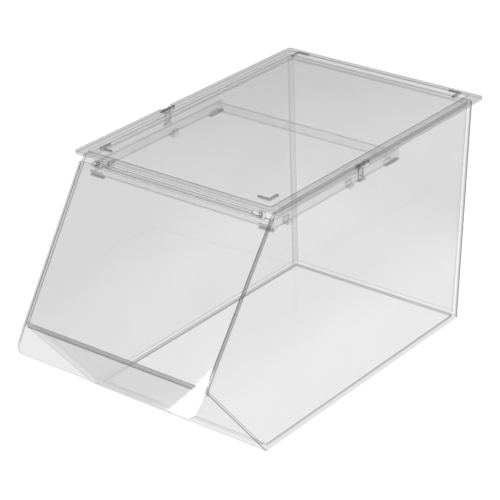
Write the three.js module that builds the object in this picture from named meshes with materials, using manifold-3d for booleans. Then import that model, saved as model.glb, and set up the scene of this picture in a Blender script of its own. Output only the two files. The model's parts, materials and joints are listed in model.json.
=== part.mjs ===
// Clear stackable storage bin with a lift-up front door.
// Millimetres, +Z up, the front faces -Y. While the pieces are shaped, y = 0 is the cover's front
// edge and z = 0 is the table; the last lines centre the bin over the origin.
import * as THREE from 'three';
import { mergeVertices } from 'three/addons/utils/BufferGeometryUtils.js';
import Module from 'manifold-3d';

const wasm = await Module();
wasm.setup();

// ---- driving dimensions ------------------------------------------------------------------
const GAP = 0.3;                      // clearance between pieces that touch
const HEIGHT = 205;                   // table to the cover's raised panel
const COVER_WIDTH = 200;
const COVER_DEPTH = 280;
const FLANGE_THICKNESS = 3;           // the cover's rim
const PANEL_RAISE = 0.8;              // step from the rim up to the raised panel
const COVER_CORNER = 3;

const WALL = 3;
const BODY_HALF_TOP = 94.4;           // half width over the side walls, at their top edge
const BODY_HALF_BASE = 88.4;          // half width at the table
const REAR_Y_TOP = 274.2;
const REAR_Y_BASE = 269.8;
const FRONT_Y_BASE = -4.5;
const SLANT = THREE.MathUtils.degToRad(35.1);         // door from the vertical
const LOWER_SLANT = THREE.MathUtils.degToRad(40.1);   // lower front panel from the vertical
const NOSE_RADIUS = 6;
const REAR_CORNER = 4;
const FOOT_HEIGHT = 2.5;              // the base stands on a rim this tall
const FOOT_WIDTH = 4.4;

const DOOR_TOP_Y = 4.3;               // where the door's outer face would meet z = HEIGHT
const DOOR_THICKNESS = 2.5;
const DOOR_LENGTH = 166;              // down the slope, to the tip of the lifting lip
const DOOR_INSET = 0.5;               // the door's sides stand in from the body's by this
const LIP_HALF = 89;                  // half width at the lip's tip
const LIP_CORNER = 8;

const ROD_Y = 3.6;                    // hinge rod
const ROD_DROP = 8.75;                // below the cover's panel
const ROD_RADIUS = 1.5;
const ROD_HALF = 90.3;
const BARREL_RADIUS = 3;
const BARREL_HALF = 76;
const EAR_INNER = 78;
const EAR_THICKNESS = 4;
const EAR_RADIUS = 2.9;

const FRAME_HALF = 90.2;              // inner frame that carries the rod
const FRAME_FRONT_Y = 7.2;
const FRAME_REAR_Y = 171.5;           // ends of the rails
const CROSSBAR_Y = 164.5;
const FRAME_TOP_DROP = 12;
const FRAME_HEIGHT = 8.2;
const FRAME_THICKNESS = 2;

const BRACKET_WIDTH = 7.5;
const BRACKET_STATIONS = { front: 27.2, rear: 106.8 };
const BRACKET_REACH = 4.6;            // from the wall in under the rail
const BRACKET_DEPTH = 2.4;
const BRACKET_LIP = 1.7;
const BRACKET_LIP_HEIGHT = 3.8;       // above the rail's lower edge

const PAD_THICKNESS = 1.2;
const PAD_HEIGHT = 3;
const FRONT_PAD_LENGTH = 14;
const REAR_PAD_LENGTH = 18;

const LATCH_Y = 109.6;
const LATCH_WIDTH = 8;
const LATCH_THICKNESS = 1.7;
const LATCH_DROP = 13.4;              // rim's mid plane to the finger lip's underside
const PIN_X = 97.2;
const PIN_RADIUS = 0.7;
const LATCH_BARREL = 1.75;
const NOTCH_FRONT_Y = 104.3;
const NOTCH_REAR_Y = 116.8;
const NOTCH_INNER_X = 94.9;

const LOCATOR_X = 83.4;               // outer corners of the L-shaped stacking ribs
const LOCATOR_FRONT_Y = 11.8;
const LOCATOR_REAR_Y = 271.8;
const LOCATOR_ARM = 11.5;
const LOCATOR_WIDTH = 1.8;
const LOCATOR_HEIGHT = 1.5;

const PANEL_HALF = 90;
const PANEL_FRONT_Y = 4.5;
const PANEL_REAR_Y = 272.5;
const RIB_OUTER_X = 90.6;             // locating rib under the cover
const RIB_FRONT_Y = 16;
const RIB_REAR_Y = 270.4;
const RIB_WIDTH = 2;
const RIB_HEIGHT = 2.8;
const RIB_CORNER = 1.2;               // step that clears the wall's rounded rear corner

// ---- derived levels ----------------------------------------------------------------------
const coverUnderside = HEIGHT - PANEL_RAISE - FLANGE_THICKNESS;
const rimTop = HEIGHT - PANEL_RAISE;
const bodyTop = coverUnderside - GAP;
const rodZ = HEIGHT - ROD_DROP;
const frameTop = HEIGHT - FRAME_TOP_DROP;
const frameBottom = frameTop - FRAME_HEIGHT;
const pinZ = (coverUnderside + rimTop) / 2;
const MANY = 400;                     // longer than the bin, for cutting blocks

const bodyHalf = (z) => THREE.MathUtils.lerp(BODY_HALF_BASE, BODY_HALF_TOP, z / bodyTop);

// A point of the door: s runs down its outer face, inward is depth into the bin.
const doorPoint = (s, inward) => [
  DOOR_TOP_Y - s * Math.sin(SLANT) + inward * Math.cos(SLANT),
  HEIGHT - s * Math.cos(SLANT) - inward * Math.sin(SLANT),
];

// The side walls' front edges lie one gap behind the door.
const wallEdgeInset = DOOR_THICKNESS + GAP;
const edgeTopY = DOOR_TOP_Y + wallEdgeInset / Math.cos(SLANT);
const noseZ = (HEIGHT * Math.tan(SLANT) - edgeTopY + FRONT_Y_BASE) / (Math.tan(SLANT) + Math.tan(LOWER_SLANT));
const noseY = FRONT_Y_BASE - noseZ * Math.tan(LOWER_SLANT);
const slantY = (z) => edgeTopY - (HEIGHT - z) * Math.tan(SLANT);

// ---- shape helpers -----------------------------------------------------------------------
const ARC_STEPS = 6;

// A closed outline from corners [u, v, radius], each round corner as an arc of short chords.
function outline(corners) {
  const shape = new THREE.Shape();
  corners.forEach(([u, v, radius = 0], i) => {
    const here = new THREE.Vector2(u, v);
    const before = new THREE.Vector2(...corners.at(i - 1)).sub(here).normalize();
    const after = new THREE.Vector2(...corners[(i + 1) % corners.length]).sub(here).normalize();
    const points = [];
    if (radius === 0) {
      points.push(here);
    } else {
      const half = Math.acos(THREE.MathUtils.clamp(before.dot(after), -1, 1)) / 2;
      const bisector = before.clone().add(after).normalize();
      const centre = here.clone().addScaledVector(bisector, radius / Math.sin(half));
      const start = here.clone().addScaledVector(before, radius / Math.tan(half)).sub(centre);
      const turn = Math.sign(after.cross(before)) * (Math.PI - 2 * half);
      for (let k = 0; k <= ARC_STEPS; k++) {
        points.push(start.clone().rotateAround(new THREE.Vector2(), turn * k / ARC_STEPS).add(centre));
      }
    }
    points.forEach((p) => (i === 0 && p === points[0] ? shape.moveTo(p.x, p.y) : shape.lineTo(p.x, p.y)));
  });
  shape.closePath();
  return shape;
}

// A closed geometry as a solid for joining and cutting.
function solid(geometry) {
  geometry.deleteAttribute('normal');
  geometry.deleteAttribute('uv');
  const merged = mergeVertices(geometry, 1e-5);
  return new wasm.Manifold(new wasm.Mesh({
    numProp: 3,
    vertProperties: new Float32Array(merged.attributes.position.array),
    triVerts: new Uint32Array(merged.index.array),
  }));
}

const extrude = (shape, depth) => new THREE.ExtrudeGeometry(shape, { depth, bevelEnabled: false, curveSegments: 24 });
const axes = (x, y, z) => new THREE.Matrix4().makeBasis(new THREE.Vector3(...x), new THREE.Vector3(...y), new THREE.Vector3(...z));

// Outlines drawn in (y, z), (z, x) or (x, y), extruded along the third axis between two places.
function alongX(shape, x0, x1) {
  const geometry = extrude(shape, x1 - x0).applyMatrix4(axes([0, 1, 0], [0, 0, 1], [1, 0, 0]));
  return solid(geometry.translate(x0, 0, 0));
}
function alongY(shape, y0, y1) {
  const geometry = extrude(shape, y1 - y0).applyMatrix4(axes([0, 0, 1], [1, 0, 0], [0, 1, 0]));
  return solid(geometry.translate(0, y0, 0));
}
function alongZ(shape, z0, z1) {
  return solid(extrude(shape, z1 - z0).translate(0, 0, z0));
}
function block(x0, x1, y0, y1, z0, z1) {
  const geometry = new THREE.BoxGeometry(x1 - x0, y1 - y0, z1 - z0);
  return solid(geometry.translate((x0 + x1) / 2, (y0 + y1) / 2, (z0 + z1) / 2));
}
const rectangle = (u0, u1, v0, v1, radius = 0) => outline([
  [u0, v0, radius], [u1, v0, radius], [u1, v1, radius], [u0, v1, radius],
]);
function disc(u, v, radius, sides = 24) {
  return outline(Array.from({ length: sides }, (_, k) => {
    const angle = 2 * Math.PI * k / sides;
    return [u + radius * Math.cos(angle), v + radius * Math.sin(angle)];
  }));
}

// A block whose plan changes with height: rounded at the rear corners, open-ended at the front.
function draftedBlock(half, rearY, radius, z0, z1) {
  const ring = (z) => outline([
    [-half(z), -MANY / 2], [half(z), -MANY / 2], [half(z), rearY(z), radius], [-half(z), rearY(z), radius],
  ]).getPoints();
  const low = ring(z0);
  const high = ring(z1);
  const n = low.length - (low[0].distanceTo(low.at(-1)) < 1e-6 ? 1 : 0);
  const positions = [];
  for (let i = 0; i < n; i++) positions.push(low[i].x, low[i].y, z0);
  for (let i = 0; i < n; i++) positions.push(high[i].x, high[i].y, z1);
  const index = [];
  for (let i = 0; i < n; i++) {
    const j = (i + 1) % n;
    index.push(i, j, n + j, i, n + j, n + i);
  }
  for (let i = 1; i < n - 1; i++) index.push(0, i + 1, i, n, n + i, n + i + 1);
  const geometry = new THREE.BufferGeometry();
  geometry.setAttribute('position', new THREE.Float32BufferAttribute(positions, 3));
  geometry.setIndex(index);
  return solid(geometry);
}

const mirrored = (piece) => piece.mirror([1, 0, 0]);
const join = (pieces) => pieces.reduce((whole, piece) => whole.add(piece));

// ---- materials ---------------------------------------------------------------------------
const clear = (name, color) => new THREE.MeshStandardMaterial({
  name, color, roughness: 0.08, metalness: 0, transparent: true, opacity: 0.35,
});
const clearWall = clear('clear_wall', 0xe3e6e7);
const clearCover = clear('clear_cover', 0xdcdfe0);
const clearDoor = clear('clear_door', 0xd6d9da);
const clearFitting = clear('clear_fitting', 0xc9cdcf);
const padRubber = new THREE.MeshStandardMaterial({ name: 'grey_pad', color: 0x55585a, roughness: 0.75 });
const steel = new THREE.MeshStandardMaterial({ name: 'steel', color: 0x9a9da0, roughness: 0.3, metalness: 1 });

const bin = new THREE.Group();
function place(name, piece, material) {
  const { numProp, vertProperties, triVerts } = piece.getMesh();
  const positions = new Float32Array(vertProperties.length / numProp * 3);
  for (let i = 0; i < positions.length / 3; i++) {
    positions.set(vertProperties.subarray(i * numProp, i * numProp + 3), i * 3);
  }
  const geometry = new THREE.BufferGeometry();
  geometry.setAttribute('position', new THREE.BufferAttribute(positions, 3));
  geometry.setIndex(new THREE.BufferAttribute(new Uint32Array(triVerts), 1));
  geometry.computeVertexNormals();
  const mesh = new THREE.Mesh(geometry, material);
  mesh.name = name;
  bin.add(mesh);
}

// ---- body shell: base, two side walls, rear wall and lower front panel, one moulding --------
function bodyShell() {
  const profile = outline([
    [FRONT_Y_BASE, 0, 3],
    [MANY, 0],
    [MANY, bodyTop],
    [slantY(bodyTop), bodyTop],
    [noseY, noseZ, NOSE_RADIUS],
  ]);
  const rearY = (z) => THREE.MathUtils.lerp(REAR_Y_BASE, REAR_Y_TOP, z / bodyTop);
  const outer = alongX(profile, -MANY / 2, MANY / 2)
    .intersect(draftedBlock(bodyHalf, rearY, REAR_CORNER, 0, bodyTop));

  const floorZ = FOOT_HEIGHT + WALL;
  const innerFrontY = FRONT_Y_BASE + WALL / Math.cos(LOWER_SLANT);
  const innerPanelY = (z) => innerFrontY - z * Math.tan(LOWER_SLANT);
  const hollowProfile = outline([
    [innerPanelY(floorZ), floorZ, 2],
    [MANY, floorZ],
    [MANY, HEIGHT],
    [innerPanelY(HEIGHT), HEIGHT],
  ]);
  const hollow = alongX(hollowProfile, -MANY / 2, MANY / 2).intersect(draftedBlock(
    (z) => bodyHalf(z) - WALL, (z) => rearY(z) - WALL, REAR_CORNER - 1, floorZ - 1, HEIGHT,
  ));
  const recess = block(
    -BODY_HALF_BASE + FOOT_WIDTH, BODY_HALF_BASE - FOOT_WIDTH,
    FRONT_Y_BASE + FOOT_WIDTH + 1.5, REAR_Y_BASE - FOOT_WIDTH, -1, FOOT_HEIGHT,
  );
  return outer.subtract(hollow).subtract(recess);
}

// ---- top cover: flat lid with a raised panel, stacking ribs and latch notches ---------------
function locator(cornerX, cornerY, inX, inY) {
  const from = (a, b) => [Math.min(a, b), Math.max(a, b)];
  const z = [HEIGHT - 0.2, HEIGHT + LOCATOR_HEIGHT];
  const acrossArm = block(...from(cornerX, cornerX + inX * LOCATOR_ARM), ...from(cornerY, cornerY + inY * LOCATOR_WIDTH), ...z);
  const depthArm = block(...from(cornerX, cornerX + inX * LOCATOR_WIDTH), ...from(cornerY, cornerY + inY * LOCATOR_ARM), ...z);
  return acrossArm.add(depthArm);
}

function topCover() {
  const rim = alongZ(rectangle(-COVER_WIDTH / 2, COVER_WIDTH / 2, 0, COVER_DEPTH, COVER_CORNER), coverUnderside, rimTop);
  const panel = alongZ(rectangle(-PANEL_HALF, PANEL_HALF, PANEL_FRONT_Y, PANEL_REAR_Y, 2), rimTop - 1, HEIGHT);
  const ribZ = [coverUnderside - RIB_HEIGHT, coverUnderside + 0.5];
  const sideRib = block(RIB_OUTER_X - RIB_WIDTH, RIB_OUTER_X, RIB_FRONT_Y, RIB_REAR_Y - RIB_CORNER, ...ribZ);
  const rearRibHalf = RIB_OUTER_X - RIB_CORNER;
  const rearRib = block(-rearRibHalf, rearRibHalf, RIB_REAR_Y - RIB_WIDTH, RIB_REAR_Y, ...ribZ);
  const locators = [-1, 1].flatMap((side) => [
    locator(side * LOCATOR_X, LOCATOR_FRONT_Y, -side, 1),
    locator(side * LOCATOR_X, LOCATOR_REAR_Y, -side, -1),
  ]);
  const plate = join([rim, panel, sideRib, mirrored(sideRib), rearRib, ...locators]);

  const notch = block(NOTCH_INNER_X, MANY, NOTCH_FRONT_Y, NOTCH_REAR_Y, coverUnderside - 1, HEIGHT + 1);
  const pinHole = alongY(disc(pinZ, PIN_X, PIN_RADIUS + GAP, 12), NOTCH_FRONT_Y - 2.3, NOTCH_REAR_Y + 2.3);
  const cuts = notch.add(pinHole);
  return plate.subtract(cuts).subtract(mirrored(cuts));
}

// ---- side latch: a two-legged flap that hangs from a pin in the cover's notch ---------------
function sideLatch() {
  const y0 = LATCH_Y - LATCH_WIDTH / 2;
  const y1 = LATCH_Y + LATCH_WIDTH / 2;
  const legInner = PIN_X - LATCH_BARREL;
  const legOuter = legInner + LATCH_THICKNESS;
  const foot = pinZ - LATCH_DROP;
  const section = outline([
    [pinZ, legInner], [pinZ, legOuter], [foot + 2.4, legOuter], [foot + 1.4, legOuter + 1.6, 0.4], [foot, legOuter + 1.6, 0.6], [foot, legInner, 0.5],
  ].reverse());
  const barrel = alongY(disc(pinZ, PIN_X, LATCH_BARREL, 20), y0, y1);
  const bore = alongY(disc(pinZ, PIN_X, PIN_RADIUS + GAP, 12), y0 - 1, y1 + 1);
  const slit = block(legInner - 1, legOuter + 1, LATCH_Y - 1, LATCH_Y + 1, foot + 4, pinZ - LATCH_BARREL - 0.8);
  return alongY(section, y0, y1).add(barrel).subtract(bore).subtract(slit);
}
const latchPin = () => alongY(disc(pinZ, PIN_X, PIN_RADIUS, 12), NOTCH_FRONT_Y - 2, NOTCH_REAR_Y + 2);

// ---- front door: flat flap, hinge barrel along the top, lifting lip past the nose -----------
function frontDoor() {
  const rodS = -(ROD_Y - DOOR_TOP_Y) * Math.sin(SLANT) + ROD_DROP * Math.cos(SLANT);
  const centreTop = rodS - 1;                     // above the rod the panel turns inside the cover's clearance
  const sideTop = rodS + 1.5;                     // beside the barrel it starts below the rod
  const halfAt = (s) => bodyHalf(doorPoint(s, 0)[1]) - DOOR_INSET;
  const noseS = (HEIGHT - noseZ) / Math.cos(SLANT);
  const shape = outline([
    [-LIP_HALF, DOOR_LENGTH, LIP_CORNER], [-halfAt(noseS), noseS], [-halfAt(sideTop), sideTop, 1.5], [-BARREL_HALF, sideTop],
    [-BARREL_HALF, centreTop], [BARREL_HALF, centreTop], [BARREL_HALF, sideTop], [halfAt(sideTop), sideTop, 1.5],
    [halfAt(noseS), noseS], [LIP_HALF, DOOR_LENGTH, LIP_CORNER],
  ]);
  const down = [0, -Math.sin(SLANT), -Math.cos(SLANT)];
  const inward = [0, Math.cos(SLANT), -Math.sin(SLANT)];
  const panel = solid(extrude(shape, DOOR_THICKNESS)
    .applyMatrix4(axes([1, 0, 0], down, inward))
    .translate(0, ...doorPoint(0, 0)));
  const barrel = alongX(disc(ROD_Y, rodZ, BARREL_RADIUS), -BARREL_HALF, BARREL_HALF);
  const bore = alongX(disc(ROD_Y, rodZ, ROD_RADIUS + GAP), -MANY / 2, MANY / 2);
  return panel.add(barrel).subtract(bore);
}
const hingeRod = () => alongX(disc(ROD_Y, rodZ, ROD_RADIUS), -ROD_HALF, ROD_HALF);

// ---- inner frame: front bar with two rod ears, side rails and a cross bar ------------------
function innerFrame() {
  const z = [frameBottom, frameTop];
  const frontBar = block(-FRAME_HALF, FRAME_HALF, FRAME_FRONT_Y, FRAME_FRONT_Y + FRAME_THICKNESS, ...z);
  const rail = block(FRAME_HALF - FRAME_THICKNESS, FRAME_HALF, FRAME_FRONT_Y, FRAME_REAR_Y, ...z);
  const crossBar = block(-FRAME_HALF + 1, FRAME_HALF - 1, CROSSBAR_Y, CROSSBAR_Y + FRAME_THICKNESS, ...z);
  const bearing = (x) => {
    const arm = outline([
      [FRAME_FRONT_Y + FRAME_THICKNESS, frameTop - 4], [FRAME_FRONT_Y + FRAME_THICKNESS, rodZ + 1],
      [ROD_Y, rodZ + EAR_RADIUS], [ROD_Y - 2, rodZ], [FRAME_FRONT_Y, frameTop - 2],
    ]);
    return alongX(arm, x, x + EAR_THICKNESS)
      .add(alongX(disc(ROD_Y, rodZ, EAR_RADIUS), x, x + EAR_THICKNESS));
  };
  const bore = alongX(disc(ROD_Y, rodZ, ROD_RADIUS + GAP), -MANY / 2, MANY / 2);
  const doorSide = alongX(outline([
    [slantY(HEIGHT) + GAP, HEIGHT], [-MANY / 2, HEIGHT], [-MANY / 2, 0], [slantY(0) + GAP, 0],
  ]), -MANY / 2, MANY / 2);
  const ear = bearing(EAR_INNER);
  return join([frontBar, rail, mirrored(rail), crossBar, ear, mirrored(ear)]).subtract(bore).subtract(doorSide);
}

// ---- bracket: a J-shaped step on the wall that the frame's rail sits in ---------------------
function railBracket(y) {
  const wallFace = bodyHalf(frameBottom - 5) - WALL - GAP;
  const bottom = frameBottom - GAP - BRACKET_DEPTH;
  const side = outline([
    [y - BRACKET_WIDTH / 2, bottom, 2], [y + BRACKET_WIDTH / 2, bottom, 2],
    [y + BRACKET_WIDTH / 2, frameBottom + BRACKET_LIP_HEIGHT, 0.8], [y - BRACKET_WIDTH / 2, frameBottom + BRACKET_LIP_HEIGHT, 0.8],
  ]);
  const inner = wallFace - BRACKET_REACH;
  const channel = block(inner + BRACKET_LIP, wallFace + 1, y - BRACKET_WIDTH, y + BRACKET_WIDTH, frameBottom - GAP, frameTop);
  return alongX(side, inner, wallFace).subtract(channel);
}

// ---- pads: soft L-section strips along the frame's lower edge at its four corners -----------
function frontPad() {
  const y0 = FRAME_FRONT_Y - GAP - PAD_THICKNESS;
  const z0 = frameBottom - GAP - PAD_THICKNESS;
  const section = outline([
    [y0, z0, 0.4], [FRAME_FRONT_Y + FRAME_THICKNESS, z0], [FRAME_FRONT_Y + FRAME_THICKNESS, frameBottom - GAP],
    [y0 + PAD_THICKNESS, frameBottom - GAP], [y0 + PAD_THICKNESS, frameBottom + PAD_HEIGHT], [y0, frameBottom + PAD_HEIGHT, 0.4],
  ]);
  return alongX(section, FRAME_HALF - FRONT_PAD_LENGTH, FRAME_HALF);
}
function rearPad() {
  const x0 = FRAME_HALF - FRAME_THICKNESS - GAP - PAD_THICKNESS;
  const z0 = frameBottom - GAP - PAD_THICKNESS;
  const legTop = frameBottom + PAD_HEIGHT;
  const y0 = FRAME_REAR_Y - REAR_PAD_LENGTH;
  const sole = block(x0, FRAME_HALF, y0, FRAME_REAR_Y, z0, frameBottom - GAP);
  const leg = block(x0, x0 + PAD_THICKNESS, y0, CROSSBAR_Y - GAP, z0, legTop);
  return sole.add(leg);
}

// ---- assembly ----------------------------------------------------------------------------
place('body_shell', bodyShell(), clearWall);
place('top_cover', topCover(), clearCover);
place('front_door', frontDoor(), clearDoor);
place('hinge_rod', hingeRod(), clearFitting);
place('inner_frame', innerFrame(), clearFitting);

const sides = { left: mirrored, right: (piece) => piece };
for (const [side, toSide] of Object.entries(sides)) {
  place(`side_latch_${side}`, toSide(sideLatch()), clearFitting);
  place(`latch_pin_${side}`, toSide(latchPin()), steel);
  place(`front_pad_${side}`, toSide(frontPad()), padRubber);
  place(`rear_pad_${side}`, toSide(rearPad()), padRubber);
  for (const [station, y] of Object.entries(BRACKET_STATIONS)) {
    place(`rail_bracket_${station}_${side}`, toSide(railBracket(y)), clearFitting);
  }
}

const frontmost = Math.min(doorPoint(DOOR_LENGTH, 0)[0], doorPoint(DOOR_LENGTH, DOOR_THICKNESS)[0]);
bin.position.y = -(frontmost + COVER_DEPTH) / 2;

export default bin;
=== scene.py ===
"""A clear stackable storage bin with a lift-up front door, on a white floor in soft light."""
import json
import math
from collections import namedtuple

import bmesh
import bpy
from mathutils import Matrix, Vector


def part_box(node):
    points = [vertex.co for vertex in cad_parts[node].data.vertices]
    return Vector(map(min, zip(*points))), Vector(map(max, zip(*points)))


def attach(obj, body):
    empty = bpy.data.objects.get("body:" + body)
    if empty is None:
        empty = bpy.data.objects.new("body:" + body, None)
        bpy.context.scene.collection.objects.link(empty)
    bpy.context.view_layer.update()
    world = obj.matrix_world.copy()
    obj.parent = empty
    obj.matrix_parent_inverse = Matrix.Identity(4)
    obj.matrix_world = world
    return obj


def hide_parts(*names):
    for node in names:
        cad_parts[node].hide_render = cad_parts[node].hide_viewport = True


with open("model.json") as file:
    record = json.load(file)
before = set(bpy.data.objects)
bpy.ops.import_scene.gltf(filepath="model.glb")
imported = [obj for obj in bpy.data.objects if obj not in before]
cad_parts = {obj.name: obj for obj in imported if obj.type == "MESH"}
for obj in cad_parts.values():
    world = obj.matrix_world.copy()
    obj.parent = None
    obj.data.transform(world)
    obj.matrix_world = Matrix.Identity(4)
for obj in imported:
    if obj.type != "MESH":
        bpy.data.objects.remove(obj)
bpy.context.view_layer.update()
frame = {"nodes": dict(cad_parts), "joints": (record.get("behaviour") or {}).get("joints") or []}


MM = 0.001
RIB_HEIGHT = 1.5 * MM       # how far the stacking ribs stand over the cover's raised panel

# ---- where things are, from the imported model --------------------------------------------
SHELL_LOW, SHELL_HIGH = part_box("body_shell")
COVER_LOW, COVER_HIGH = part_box("top_cover")
COVER_FRONT = COVER_LOW[1]
COVER_TOP = COVER_HIGH[2] - RIB_HEIGHT
TABLE = SHELL_LOW[2]
HINGE = next(j for j in frame["joints"] if j["name"] == "door_hinge")["pos_m"]

# ---- colour management: a white floor stays white ----------------------------------------
scene = bpy.context.scene
scene.view_settings.view_transform = "Standard"
scene.cycles.transparent_max_bounces = 64
scene.cycles.max_bounces = 16


# ---- materials ---------------------------------------------------------------------------
ACRYLIC_IOR = 1.49
NOISE_LOW, NOISE_HIGH = 0.3, 0.7        # nearly all of Blender's noise lies between these


def grey(value):
    """An opaque grey as a colour socket takes it."""
    return (value, value, value, 1)


def noise(nodes, links, scale, detail, low, high):
    """A value that wanders between low and high over the piece, at scale blobs per metre."""
    place = nodes.new("ShaderNodeTexCoord")
    cloud = nodes.new("ShaderNodeTexNoise")
    cloud.inputs["Scale"].default_value = scale
    cloud.inputs["Detail"].default_value = detail
    span = nodes.new("ShaderNodeMapRange")
    span.inputs["From Min"].default_value = NOISE_LOW
    span.inputs["From Max"].default_value = NOISE_HIGH
    span.inputs["To Min"].default_value = low
    span.inputs["To Max"].default_value = high
    links.new(place.outputs["Object"], cloud.inputs["Vector"])
    links.new(cloud.outputs["Fac"], span.inputs["Value"])
    return span.outputs["Result"]


def clear_plastic(
    name, passed, body, body_share,
    slanted=0.8, falloff=2, roughness=0.03, shine=1.0, haze=0.3, fade=None,
):
    """See-through plastic. Each surface passes `passed` of the light seen straight on and
    `slanted` of that at a glance, changing over with the power `falloff`. A share `body_share` of
    it is milky grey `body`, wandering by `haze` of itself, and it mirrors `shine` of what bare
    plastic would. With fade=(direction, start, end, other) its tint turns slowly to `other` of
    itself along the piece, from start to end metres in that direction: it stands in for the
    studio's uneven reflections."""
    material = bpy.data.materials.new(name)
    material.use_nodes = True
    nodes = material.node_tree.nodes
    links = material.node_tree.links
    nodes.clear()

    def maths(operation, value, second, third=0.0):
        node = nodes.new("ShaderNodeMath")
        node.operation = operation
        links.new(value, node.inputs[0])
        node.inputs[1].default_value = second
        node.inputs[2].default_value = third
        return node.outputs["Value"]

    view = nodes.new("ShaderNodeLayerWeight")
    view.inputs["Blend"].default_value = 0.5
    tint = nodes.new("ShaderNodeMix")
    tint.data_type = "RGBA"
    tint.inputs["A"].default_value = grey(passed)
    tint.inputs["B"].default_value = grey(slanted * passed)
    links.new(maths("POWER", view.outputs["Facing"], falloff), tint.inputs["Factor"])
    through = nodes.new("ShaderNodeBsdfTransparent")
    links.new(tint.outputs["Result"], through.inputs["Color"])
    if fade:
        direction, start, end, other = fade
        place = nodes.new("ShaderNodeTexCoord")
        along = nodes.new("ShaderNodeVectorMath")
        along.operation = "DOT_PRODUCT"
        along.inputs[1].default_value = Vector(direction).normalized()
        links.new(place.outputs["Object"], along.inputs[0])
        ramp = nodes.new("ShaderNodeMapRange")
        ramp.interpolation_type = "SMOOTHSTEP"
        ramp.inputs["From Min"].default_value = start
        ramp.inputs["From Max"].default_value = end
        ramp.inputs["To Min"].default_value = 1.0
        ramp.inputs["To Max"].default_value = other
        links.new(along.outputs["Value"], ramp.inputs["Value"])
        scaled = nodes.new("ShaderNodeVectorMath")
        scaled.operation = "SCALE"
        links.new(tint.outputs["Result"], scaled.inputs[0])
        links.new(ramp.outputs["Result"], scaled.inputs["Scale"])
        links.new(scaled.outputs["Vector"], through.inputs["Color"])
    milk = nodes.new("ShaderNodeBsdfPrincipled")
    milk.inputs["Base Color"].default_value = grey(body)
    milk.inputs["Roughness"].default_value = 0.35
    milk.inputs["IOR"].default_value = ACRYLIC_IOR
    mirror = nodes.new("ShaderNodeBsdfGlossy")
    mirror.inputs["Color"].default_value = grey(shine)
    uneven = noise(nodes, links, 28, 4, roughness * 0.6, roughness * 1.6)
    links.new(uneven, mirror.inputs["Roughness"])
    milky = nodes.new("ShaderNodeMixShader")
    cloudy = noise(nodes, links, 9, 3, body_share * (1 - haze), body_share * (1 + haze))
    links.new(cloudy, milky.inputs["Fac"])
    links.new(through.outputs["BSDF"], milky.inputs[1])
    links.new(milk.outputs["BSDF"], milky.inputs[2])
    glossy = nodes.new("ShaderNodeMixShader")
    # mirrored share: 4% seen straight on, rising steeply at a glance (Schlick's rule)
    mirrored = maths("MULTIPLY_ADD", maths("POWER", view.outputs["Facing"], 5), 0.9, 0.04)
    links.new(mirrored, glossy.inputs["Fac"])
    links.new(milky.outputs["Shader"], glossy.inputs[1])
    links.new(mirror.outputs["BSDF"], glossy.inputs[2])
    output = nodes.new("ShaderNodeOutputMaterial")
    links.new(glossy.outputs["Shader"], output.inputs["Surface"])
    return material


def brushed_steel(name, colour, roughness):
    """Bare steel with a fine grain in its roughness."""
    material = bpy.data.materials.new(name)
    material.use_nodes = True
    nodes = material.node_tree.nodes
    links = material.node_tree.links
    shader = nodes["Principled BSDF"]
    shader.inputs["Base Color"].default_value = (*colour, 1)
    shader.inputs["Metallic"].default_value = 1.0
    grain = noise(nodes, links, 900, 2, roughness * 0.8, roughness * 1.2)
    links.new(grain, shader.inputs["Roughness"])
    return material


# Painted shade: the walls' tint turns darker towards their top, standing in for the studio's uneven
# reflections.
WALL = clear_plastic(
    "clear_wall", 0.972, 0.62, 0.03, haze=0.7, fade=((0, 0, 1), 0.05, 0.12, 0.955),
)
BASE = clear_plastic("clear_base", 0.998, 0.85, 0.005, slanted=0.99)
# Painted shade: darker than the walls. It is used on the foot's underside and on the rear corners'
# inner strips.
FOOT = clear_plastic("foot_painted_shade", 0.9, 0.6, 0.05, slanted=0.95, shine=0.4)
# Painted shade: clear straight on and nearly black at a glance. It stands in for the dark lines
# that refraction draws along the bin's corners.
CORNER = clear_plastic(
    "corner_painted_shade", 0.97, 0.3, 0.05, slanted=0.02, falloff=1.05, shine=0.1,
)
# Painted shade: the cover's tint turns darker towards its rear left, standing in for the studio's
# uneven reflections.
COVER = clear_plastic(
    "clear_cover", 0.974, 0.6, 0.03, haze=0.7, fade=((-1, 0.6, 0), -0.04, 0.14, 0.925),
)
# Painted shade: darker than the cover's plate, and given to its flange.
RIM = clear_plastic("rim_painted_shade", 0.84, 0.5, 0.08, shine=0.4)
# Painted light: the door's tint turns lighter towards its right side, standing in for the studio's
# uneven reflections.
DOOR = clear_plastic(
    "clear_door", 0.91, 0.6, 0.04, haze=0.7, fade=((1, 0, 0), -0.06, 0.09, 1.025),
)
FITTING = clear_plastic("clear_fitting", 0.985, 0.6, 0.015, slanted=0.93, shine=0.5)
# Painted shade: dark, middling and soft greys for the rounded edges and thin faces. They stand in
# for the dark lines that refraction draws along clear plastic's edges.
EDGE_DARK = clear_plastic("edge_painted_shade_dark", 0.4, 0.12, 0.4, shine=0.2)
EDGE_MID = clear_plastic("edge_painted_shade_mid", 0.62, 0.22, 0.3, shine=0.3)
EDGE_SOFT = clear_plastic("edge_painted_shade_soft", 0.86, 0.45, 0.12, shine=0.4)
# Dark grey, given only to the pads' top and bottom faces.
PAD = clear_plastic("pad_dark_faces", 0.7, 0.22, 0.35, roughness=0.3, shine=0.3)
STEEL = brushed_steel("pin_steel", (0.55, 0.56, 0.57), 0.28)


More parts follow.
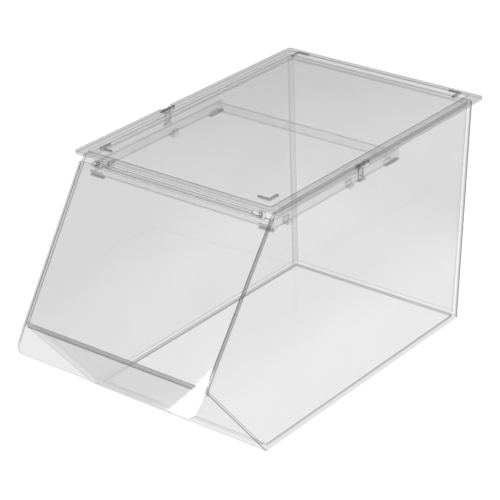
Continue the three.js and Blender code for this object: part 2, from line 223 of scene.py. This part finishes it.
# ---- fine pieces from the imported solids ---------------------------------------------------
WELD = 1e-6                            # points nearer than this, in metres, are one point
IN_PLANE = 0.01 * MM                   # a point this near a face's plane lies in it
LEVEL = 0.01                           # faces that meet at less than this, in radians, are level
SHARP = math.radians(30)               # an edge is rounded if its faces turn more than this
CREASE = math.radians(35)              # an edge stays a crease in the shading above this
FOLDED = math.radians(150)             # a triangle is folded over its neighbour above this
WORTH_UNFOLDING = 4 * MM               # folds along shorter edges are left
UNFOLD_PASSES = 6
HAIR = 0.5 * MM                        # a rounded edge's facets are narrower than this
THIN = 4.5 * MM                        # a wall's end face is narrower than this
Patch = namedtuple("Patch", "faces middle normal width low high")


def patches(bm):
    """The mesh's flat areas, in the order of their largest faces. Each is a run of faces that lie
    in one plane, with the middle and the corners of its box, and roughly how wide it is."""
    taken = set()
    found = []
    for start in sorted(bm.faces, key=lambda face: (-face.calc_area(), face.index)):
        if start in taken:
            continue
        taken.add(start)
        level = start.normal.dot(start.verts[0].co)
        faces, queue = [start], [start]
        while queue:
            for edge in queue.pop().edges:
                for other in edge.link_faces:
                    if other not in taken and all(
                        abs(start.normal.dot(v.co) - level) < IN_PLANE for v in other.verts
                    ):
                        taken.add(other)
                        faces.append(other)
                        queue.append(other)
        points = [v.co for face in faces for v in face.verts]
        low = Vector(min(p[i] for p in points) for i in range(3))
        high = Vector(max(p[i] for p in points) for i in range(3))
        area = sum(face.calc_area() for face in faces)
        width = area / (high - low).length
        found.append(Patch(faces, (low + high) / 2, start.normal.copy(), width, low, high))
    return found


def between_triangles(edge):
    return edge.is_manifold and all(len(face.verts) == 3 for face in edge.link_faces)


def unfold(bm):
    """Turns the edges that the rounding folded long thin triangles over. Some folds stay."""
    for _ in range(UNFOLD_PASSES):
        folded = [
            edge for edge in bm.edges
            if between_triangles(edge) and edge.calc_length() > WORTH_UNFOLDING
            and edge.calc_face_angle(0) > FOLDED
        ]
        if not folded:
            break
        for edge in folded:
            if edge.is_valid and edge.is_manifold and edge.calc_face_angle(0) > FOLDED:
                bmesh.ops.rotate_edges(bm, edges=[edge], use_ccw=False)
                bm.normal_update()


def even_out(bm):
    """Swaps edges inside the flat areas for shorter ones, so that their triangles are less thin."""
    level = [
        edge for edge in bm.edges
        if between_triangles(edge) and edge.calc_face_angle(0) < LEVEL
    ]
    triangles = [face for face in bm.faces if len(face.verts) == 3]
    bmesh.ops.beautify_fill(bm, faces=triangles, edges=level)


def rounded(mesh, name, radius, segments):
    """A copy of mesh whose sharp edges are rounded, each by radius(edge) metres. The modifier's
    clamp is off, since with it the shortest edge would hold every radius near zero."""
    bm = bmesh.new()
    bm.from_mesh(mesh)
    bmesh.ops.remove_doubles(bm, verts=bm.verts, dist=WELD)
    bm.normal_update()
    bm.edges.index_update()
    sharp = {
        edge.index: radius(edge) for edge in bm.edges
        if edge.is_manifold and edge.calc_face_angle(0) > SHARP
    }
    widest = max(sharp.values())
    weight = bm.edges.layers.float.new("bevel_weight_edge")
    for edge in bm.edges:
        edge[weight] = sharp.get(edge.index, 0) / widest
    blank = bpy.data.meshes.new(name + "_blank")
    bm.to_mesh(blank)
    bm.free()
    model = bpy.data.objects.new(name + "_blank", blank)
    scene.collection.objects.link(model)
    bevel = model.modifiers.new("rounding", "BEVEL")
    bevel.width = widest
    bevel.segments = segments
    bevel.limit_method = "WEIGHT"
    bevel.use_clamp_overlap = False
    depsgraph = bpy.context.evaluated_depsgraph_get()
    result = bpy.data.meshes.new_from_object(model.evaluated_get(depsgraph), depsgraph=depsgraph)
    result.name = name
    bpy.data.objects.remove(model)
    bpy.data.meshes.remove(blank)
    return result


def fine(node, body, bevel, materials, pick, segments=3):
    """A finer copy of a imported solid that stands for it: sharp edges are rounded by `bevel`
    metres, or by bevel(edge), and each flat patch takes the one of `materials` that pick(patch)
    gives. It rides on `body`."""
    radius = bevel if callable(bevel) else lambda edge: bevel
    mesh = rounded(frame["nodes"][node].data, node + "_fine", radius, segments)
    bm = bmesh.new()
    bm.from_mesh(mesh)
    lowest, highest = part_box(node)
    for point in bm.verts:                                 # the rounding may overshoot
        point.co = [min(max(at, low), high) for at, low, high in zip(point.co, lowest, highest)]
    bm.normal_update()
    bmesh.ops.triangulate(bm, faces=[face for face in bm.faces if len(face.verts) > 4])
    bm.normal_update()
    unfold(bm)
    even_out(bm)
    bm.verts.index_update()
    bm.edges.index_update()
    bm.faces.index_update()
    for patch in patches(bm):
        number = materials.index(pick(patch))
        for face in patch.faces:
            face.smooth = patch.width < 2 * THIN
            face.material_index = number
    smooth = [face.smooth for face in bm.faces]
    bm.to_mesh(mesh)
    bm.free()
    mesh.set_sharp_from_angle(angle=CREASE)
    mesh.polygons.foreach_set("use_smooth", smooth)        # the wide patches stay flat
    piece = bpy.data.objects.new(node + "_fine", mesh)
    scene.collection.objects.link(piece)
    for material in materials:
        mesh.materials.append(material)
    weights = piece.modifiers.new("even_shading", "WEIGHTED_NORMAL")
    weights.keep_sharp = True
    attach(piece, body)
    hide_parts(node)
    return piece


BASE_TOP = 9 * MM                      # the foot and the floor's edges lie below this
NOSE_TOP = 75 * MM                     # the nose panel's sides lie below this
NOSE_BACK = -60 * MM                   # and in front of this
NOSE_EDGE = (60 * MM, 120 * MM)        # the nose panel's top edge lies between these heights
RUNS_ACROSS = 120 * MM                 # a patch longer than this runs from side to side


def whole(material):
    """Every patch in one material."""
    return lambda patch: material


def lined(line, limit=HAIR):
    """Patches narrower than `limit` in the painted shade line material `line`, the rest in FITTING.
    """
    return lambda patch: line if patch.width < limit else FITTING


def shell_patch(patch):
    """The tub's walls and base, and the painted shade of its foot, its corners and the lines along
    its edges.
    """
    _, middle, normal, width, low, high = patch
    narrow = width < HAIR
    if high.z < BASE_TOP:
        if high.z < 0.2 * MM and width > HAIR:             # the foot's underside
            return FOOT
        if width > THIN or abs(normal.z) > 0.98:
            return BASE
        return EDGE_MID if middle.z < 1 * MM and normal.xy.dot(middle.xy) > 0 else CORNER
    if width > THIN:
        return WALL
    if middle.y > SHELL_HIGH[1] - 12 * MM and middle.z < SHELL_HIGH[2] - 10 * MM:
        return CORNER if normal.y > 0 else FOOT            # upright rear corners
    if middle.z > SHELL_HIGH[2] - 1 * MM:                  # the upper edge
        return EDGE_MID if narrow else EDGE_SOFT
    if high.x - low.x > RUNS_ACROSS and NOSE_EDGE[0] < middle.z < NOSE_EDGE[1]:
        return EDGE_MID if normal.y < 0 and normal.z > 0.1 else CORNER
    if middle.z < NOSE_TOP and middle.y < NOSE_BACK:
        outward = normal.x * middle.x > 0
        return EDGE_MID if outward and narrow else CORNER
    return EDGE_DARK if narrow else EDGE_SOFT


def cover_patch(patch):
    """The cover's plate and flange, the rim's lines and its thin faces; the flange, the lines and
    the thin faces are painted shade.
    """
    if patch.middle.z > COVER_TOP + 0.1 * MM:              # stacking ribs
        return EDGE_SOFT if patch.normal.z > 0.5 else EDGE_MID
    if patch.middle.z < COVER_TOP - 3.9 * MM:              # locating rib under the plate
        return EDGE_SOFT if patch.width < HAIR else COVER
    if patch.width < HAIR:
        return EDGE_MID
    if patch.normal.z > 0.9 and patch.middle.z < COVER_TOP - 0.3 * MM:     # flange
        return RIM
    return EDGE_SOFT if patch.width < THIN else COVER


def pad_patch(patch):
    """A pad is dark grey at its top and bottom, and clear round its sides."""
    return PAD if abs(patch.normal.z) > 0.5 else FITTING


def door_patch(patch):
    """The door's panel, its lines, its hinge barrel and its thin faces; the lines and thin faces
    are painted shade.
    """
    middle = patch.middle
    if math.hypot(middle.y - HINGE[1], middle.z - HINGE[2]) < 3.3 * MM:    # hinge barrel
        return FITTING
    if patch.width > THIN:
        return DOOR
    if patch.width > HAIR or middle.z < NOSE_TOP:
        return EDGE_SOFT
    upright = abs(patch.normal.x) > 0.1 and patch.high.z - patch.low.z > 20 * MM
    return EDGE_DARK if upright else EDGE_MID


def slope(edge):
    """An edge's direction, and its middle."""
    start, end = (v.co for v in edge.verts)
    return (end - start).normalized(), (start + end) / 2


def shell_radius(edge):
    """The nose panel's slanted sides are rounded by 0.8 mm, every other edge by 0.4 mm."""
    way, middle = slope(edge)
    side = abs(way.z) > 0.4 and abs(way.y) > 0.4 and abs(middle.x) > SHELL_HIGH[0] - 7 * MM
    return 0.8 * MM if side and middle.z < NOSE_TOP and middle.y < 0 else 0.4 * MM


def door_radius(edge):
    """The door's long sides are rounded by 0.6 mm, every other edge by 0.35 mm."""
    way, middle = slope(edge)
    return 0.6 * MM if abs(way.z) > 0.6 and abs(middle.x) > 60 * MM else 0.35 * MM


ROUND = 0.3 * MM                       # how much the small clear pieces' edges are rounded

fine(
    "body_shell", "bin", shell_radius,
    [WALL, BASE, EDGE_DARK, EDGE_MID, EDGE_SOFT, CORNER, FOOT], shell_patch,
)
fine(
    "top_cover", "cover", 0.35 * MM,
    [COVER, EDGE_MID, EDGE_SOFT, RIM], cover_patch, segments=2,
)
door = fine(
    "front_door", "door", door_radius,
    [DOOR, EDGE_MID, FITTING, EDGE_SOFT, EDGE_DARK], door_patch,
)
fine("hinge_rod", "bin", ROUND, [FITTING], whole(FITTING))
fine(
    "inner_frame", "bin", ROUND,
    [FITTING, EDGE_MID], lined(EDGE_MID), segments=2,
)
for side in ("left", "right"):
    fine(
        f"side_latch_{side}", f"latch_{side}", ROUND,
        [FITTING, EDGE_DARK], lined(EDGE_DARK, ROUND), segments=2,
    )
    fine(f"latch_pin_{side}", "cover", 0.15 * MM, [STEEL], whole(STEEL), segments=2)
    fine(f"front_pad_{side}", "bin", ROUND, [PAD, FITTING], pad_patch)
    fine(f"rear_pad_{side}", "bin", ROUND, [PAD, FITTING], pad_patch)
    for station in ("front", "rear"):
        fine(
            f"rail_bracket_{station}_{side}", "bin", ROUND,
            [FITTING, EDGE_DARK], lined(EDGE_DARK, ROUND), segments=2,
        )


# ---- floor, light and camera --------------------------------------------------------------
FLOOR_GLOW = 0.97          # lit through from below; nearly white by itself
FLOOR_GREY = 0.06          # what it reflects besides, so that a faint shadow shows
MIRRORED_STUDIO = 0.6      # the studio's brightness as the plastic mirrors it; 1 to the eye


def floor():
    """A white floor, lit through from below as a light table is, so that shadows stay faint."""
    material = bpy.data.materials.new("white_floor")
    material.use_nodes = True
    nodes = material.node_tree.nodes
    links = material.node_tree.links
    shader = nodes["Principled BSDF"]
    shader.inputs["Base Color"].default_value = grey(FLOOR_GREY)
    shader.inputs["Emission Color"].default_value = grey(1)
    shader.inputs["Emission Strength"].default_value = FLOOR_GLOW
    links.new(noise(nodes, links, 40, 2, 0.75, 0.85), shader.inputs["Roughness"])
    mesh = bpy.data.meshes.new("floor")
    bm = bmesh.new()
    bmesh.ops.create_grid(bm, x_segments=8, y_segments=8, size=6)
    bm.to_mesh(mesh)
    bm.free()
    mesh.materials.append(material)
    plane = bpy.data.objects.new("floor", mesh)
    plane.location.z = TABLE - 0.05 * MM                   # clear of the bin's underside
    scene.collection.objects.link(plane)


def studio():
    """White all round for the eye and the floor, greyer where the plastic mirrors it."""
    world = bpy.data.worlds.new("studio")
    scene.world = world
    world.use_nodes = True
    nodes = world.node_tree.nodes
    links = world.node_tree.links
    nodes.clear()
    path = nodes.new("ShaderNodeLightPath")
    mix = nodes.new("ShaderNodeMixShader")
    output = nodes.new("ShaderNodeOutputWorld")
    links.new(path.outputs["Is Glossy Ray"], mix.inputs["Fac"])
    for socket, strength in ((1, 1.0), (2, MIRRORED_STUDIO)):
        white = nodes.new("ShaderNodeBackground")
        white.inputs["Color"].default_value = grey(1)
        white.inputs["Strength"].default_value = strength
        links.new(white.outputs["Background"], mix.inputs[socket])
    links.new(mix.outputs["Shader"], output.inputs["Surface"])


def softbox(name, location, target, size, power):
    """A rectangular area light of `power` watts at `location`, turned to `target`."""
    data = bpy.data.lights.new(name, "AREA")
    data.shape = "RECTANGLE"
    data.size, data.size_y = size
    data.energy = power
    lamp = bpy.data.objects.new(name, data)
    lamp.location = location
    way = Vector(target) - Vector(location)
    lamp.rotation_euler = way.to_track_quat("-Z", "Y").to_euler()
    scene.collection.objects.link(lamp)
    return lamp


CARD_REACH = 1.6           # the card's distance over the door's, from the mirrored eye
CARD_POWER = 0.8
GLINT_RIGHT, GLINT_LEFT = 94 * MM, 65 * MM     # the bright patch on the door, across
GLINT_TOP, GLINT_FOOT = 100 * MM, 68 * MM      # and up


def glint(eye):
    """A small bright card at the side of the studio, where the door's lower right corner mirrors
    it to a camera at `eye`. Its edge crosses the door from the right side to the lip."""
    panel = max(door.data.polygons, key=lambda face: face.area * max(0.0, -face.normal.y))
    normal, on = panel.normal.copy(), panel.center.copy()
    behind = eye - 2 * (eye - on).dot(normal) * normal

    def mirrored(x, z):
        """Where the card must be for the door to show it at x, z."""
        y = on.y - ((x - on.x) * normal.x + (z - on.z) * normal.z) / normal.y
        return behind + CARD_REACH * (Vector((x, y, z)) - behind)

    upper = mirrored(GLINT_RIGHT, GLINT_TOP)
    lower = mirrored(GLINT_LEFT, GLINT_FOOT)
    corner = mirrored(GLINT_RIGHT, GLINT_FOOT)
    long_side = (upper - lower) * 1.5
    short_side = (corner - lower) - (corner - lower).project(long_side)
    middle = (upper + lower) / 2 + short_side
    back = (middle - behind).normalized()
    across = long_side.normalized()
    size = (long_side.length, 2 * short_side.length)
    card = softbox("side_card", middle, on, size, CARD_POWER)
    turn = Matrix((across, back.cross(across), back)).transposed()
    card.matrix_world = Matrix.Translation(middle) @ turn.to_4x4()
    card.visible_camera = False


def camera():
    """Three-quarter view from the front right, above; a long lens from 1.6 m. Its place, turn and
    lens come from a perspective fit of the bin's corners. Gives its place."""
    data = bpy.data.cameras.new("camera")
    data.sensor_width = 36
    data.lens = 147.96
    eye = bpy.data.objects.new("camera", data)
    right = Vector((0.7893, 0.6137, -0.0191)).normalized()
    forward = Vector((-0.5581, 0.7041, -0.4392)).normalized()
    up = right.cross(forward)
    right = forward.cross(up)
    turn = Matrix((right, up, -forward)).transposed()
    place = Vector((0.9242, COVER_FRONT - 1.0734, COVER_TOP - 0.0004 + 0.6318))
    eye.matrix_world = Matrix.Translation(place) @ turn.to_4x4()
    scene.collection.objects.link(eye)
    scene.camera = eye
    return place


floor()
studio()
softbox("overhead", (0.3, -0.4, 1.8), (0, 0, 0), (1.6, 1.6), 12)
glint(camera())
